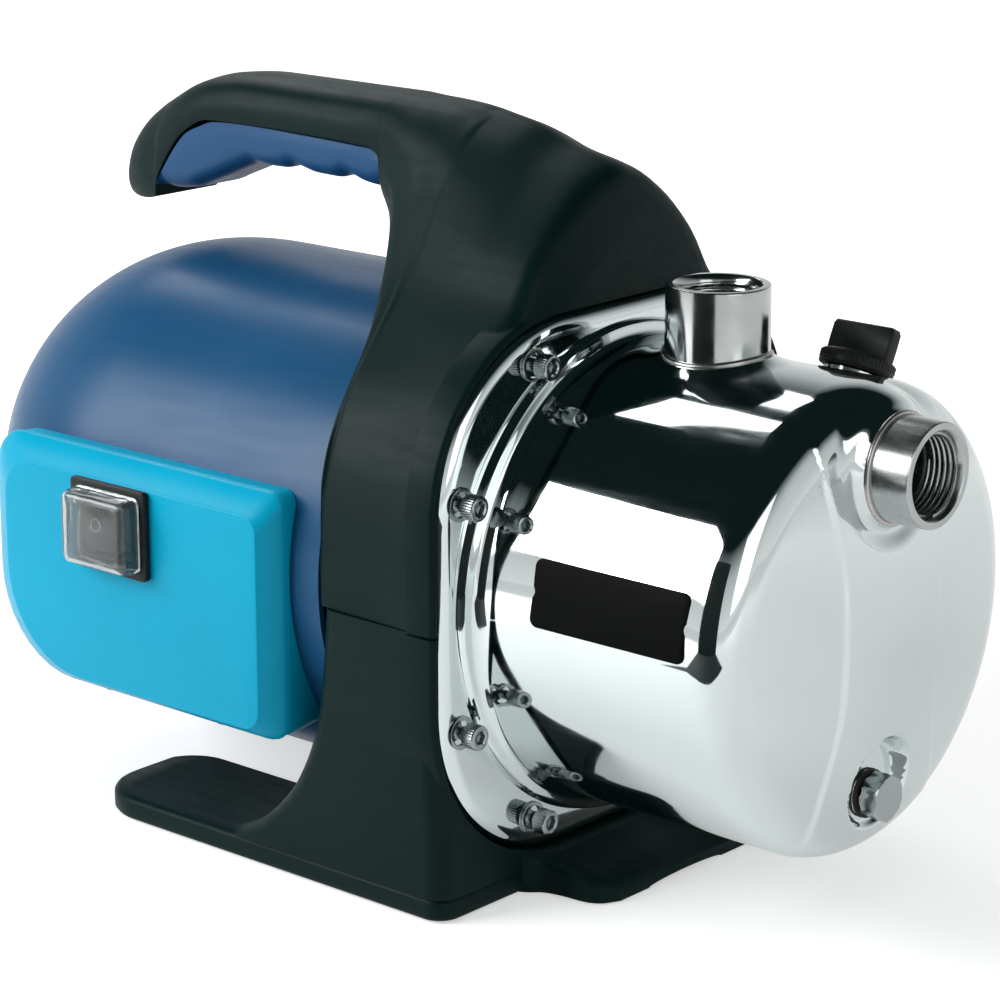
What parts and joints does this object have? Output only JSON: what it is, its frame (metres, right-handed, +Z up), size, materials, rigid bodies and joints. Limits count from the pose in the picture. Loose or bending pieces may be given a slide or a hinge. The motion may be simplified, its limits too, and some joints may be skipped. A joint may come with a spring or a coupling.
{
  "type": "shallow well jet pump",
  "caption": "Portable garden jet pump with polished steel casing, blue motor cover, side switch box, dark stand and carrying handle.",
  "frame": {"origin": "on the floor plane, straight below the pump shaft's axis, in the plane of the casing flange's front face", "axes": "+X along the shaft towards the suction port, +Z up, +Y to the side away from the switch box"},
  "size_m": [0.465, 0.2397, 0.2978],
  "materials": {
    "polished_steel": "mirror-polished stainless sheet",
    "turned_steel": "turned stainless, fine rings",
    "screw_steel": "bright zinc-like steel",
    "black_plastic": "fine matte grain",
    "label_film": "blank satin film",
    "capacitor_case": "satin",
    "seal_rubber": "matte",
    "fan_plastic": "satin",
    "impeller_plastic": "satin moulded",
    "bearing_steel": "ground",
    "cover_plastic": "glossy deep blue",
    "grip_plastic": "satin blue, slightly soft",
    "brass": "turned",
    "cast_aluminium": "cast, satin",
    "core_steel": "laminated, varnished",
    "carbon": "lapped carbon",
    "stand_plastic": "dark green-grey, fine matte grain",
    "clear_boot": "clear smoky soft plastic",
    "box_plastic": "glossy cyan blue",
    "terminal_plastic": "satin",
    "copper": "varnished copper wire"
  },
  "bodies": {
    "pump": {"box_screw_1": "screw_steel", "box_screw_2": "screw_steel", "cable_gland": "black_plastic", "capacitor": "capacitor_case", "casing_seal": "seal_rubber", "diffuser": "impeller_plastic", "discharge_socket": "turned_steel", "drain_boss": "turned_steel", "filler_neck": "turned_steel", "flange_screw_1": "screw_steel", "flange_screw_2": "screw_steel", "flange_screw_3": "screw_steel", "flange_screw_4": "screw_steel", "flange_screw_5": "screw_steel", "flange_screw_6": "screw_steel", "flange_screw_7": "screw_steel", "flange_screw_8": "screw_steel", "front_bearing": "bearing_steel", "handle_grip": "grip_plastic", "jet_nozzle": "brass", "motor_bracket": "cast_aluminium", "motor_cover": "cover_plastic", "motor_frame": "cast_aluminium", "pump_casing": "polished_steel", "rear_bearing": "bearing_steel", "rear_end_shield": "cast_aluminium", "seal_seat": "seal_rubber", "side_label": "label_film", "stand_base": "stand_plastic", "stand_hood": "stand_plastic", "stator_core": "core_steel", "suction_elbow": "black_plastic", "suction_socket": "turned_steel", "switch_bezel": "black_plastic", "switch_body": "black_plastic", "switch_boot": "clear_boot", "switch_box_base": "box_plastic", "switch_box_cover": "box_plastic", "terminal_block": "terminal_plastic", "venturi_tube": "black_plastic", "winding_front": "copper", "winding_rear": "copper"},
    "rotor_group": {"motor_shaft": "screw_steel", "rotor": "core_steel", "impeller": "impeller_plastic", "impeller_nut": "screw_steel", "seal_ring": "carbon", "cooling_fan": "fan_plastic"},
    "rocker": {"switch_rocker": "black_plastic"},
    "priming_washer": {"priming_plug_seal": "seal_rubber"},
    "priming_cap": {"priming_plug": "black_plastic"},
    "drain_washer": {"drain_plug_seal": "seal_rubber"},
    "drain_screw": {"drain_plug": "turned_steel"}
  },
  "joints": [
    {"name": "shaft_spin", "type": "hinge", "parent": "pump", "child": "rotor_group", "pos_m": [0, 0, 0.121], "axis": [1, 0, 0], "continuous": true},
    {"name": "rocker_tip", "type": "hinge", "parent": "pump", "child": "rocker", "pos_m": [-0.1685, -0.1165, 0.1295], "axis": [0, 0, 1], "range_deg": [-8, 8]},
    {"name": "priming_plug_turn", "type": "hinge", "parent": "pump", "child": "priming_washer", "pos_m": [0.0805, 0.04081, 0.20468], "axis": [0, 0.4384, 0.8988], "range_deg": [0, 1080]},
    {"name": "priming_plug_lift", "type": "slide", "parent": "priming_washer", "child": "priming_cap", "axis": [0, 0.4384, 0.8988], "range_m": [0, 0.0075]},
    {"name": "drain_plug_turn", "type": "hinge", "parent": "pump", "child": "drain_washer", "pos_m": [0.1199, 0, 0.0545], "axis": [1, 0, 0], "range_deg": [0, 1080]},
    {"name": "drain_plug_lift", "type": "slide", "parent": "drain_washer", "child": "drain_screw", "axis": [1, 0, 0], "range_m": [0, 0.0045]}
  ],
  "couplings": [
    {"joint": "priming_plug_lift", "follows": "priming_plug_turn", "m_per_rad": 0.00039789},
    {"joint": "drain_plug_lift", "follows": "drain_plug_turn", "m_per_rad": 0.00023873}
  ]
}
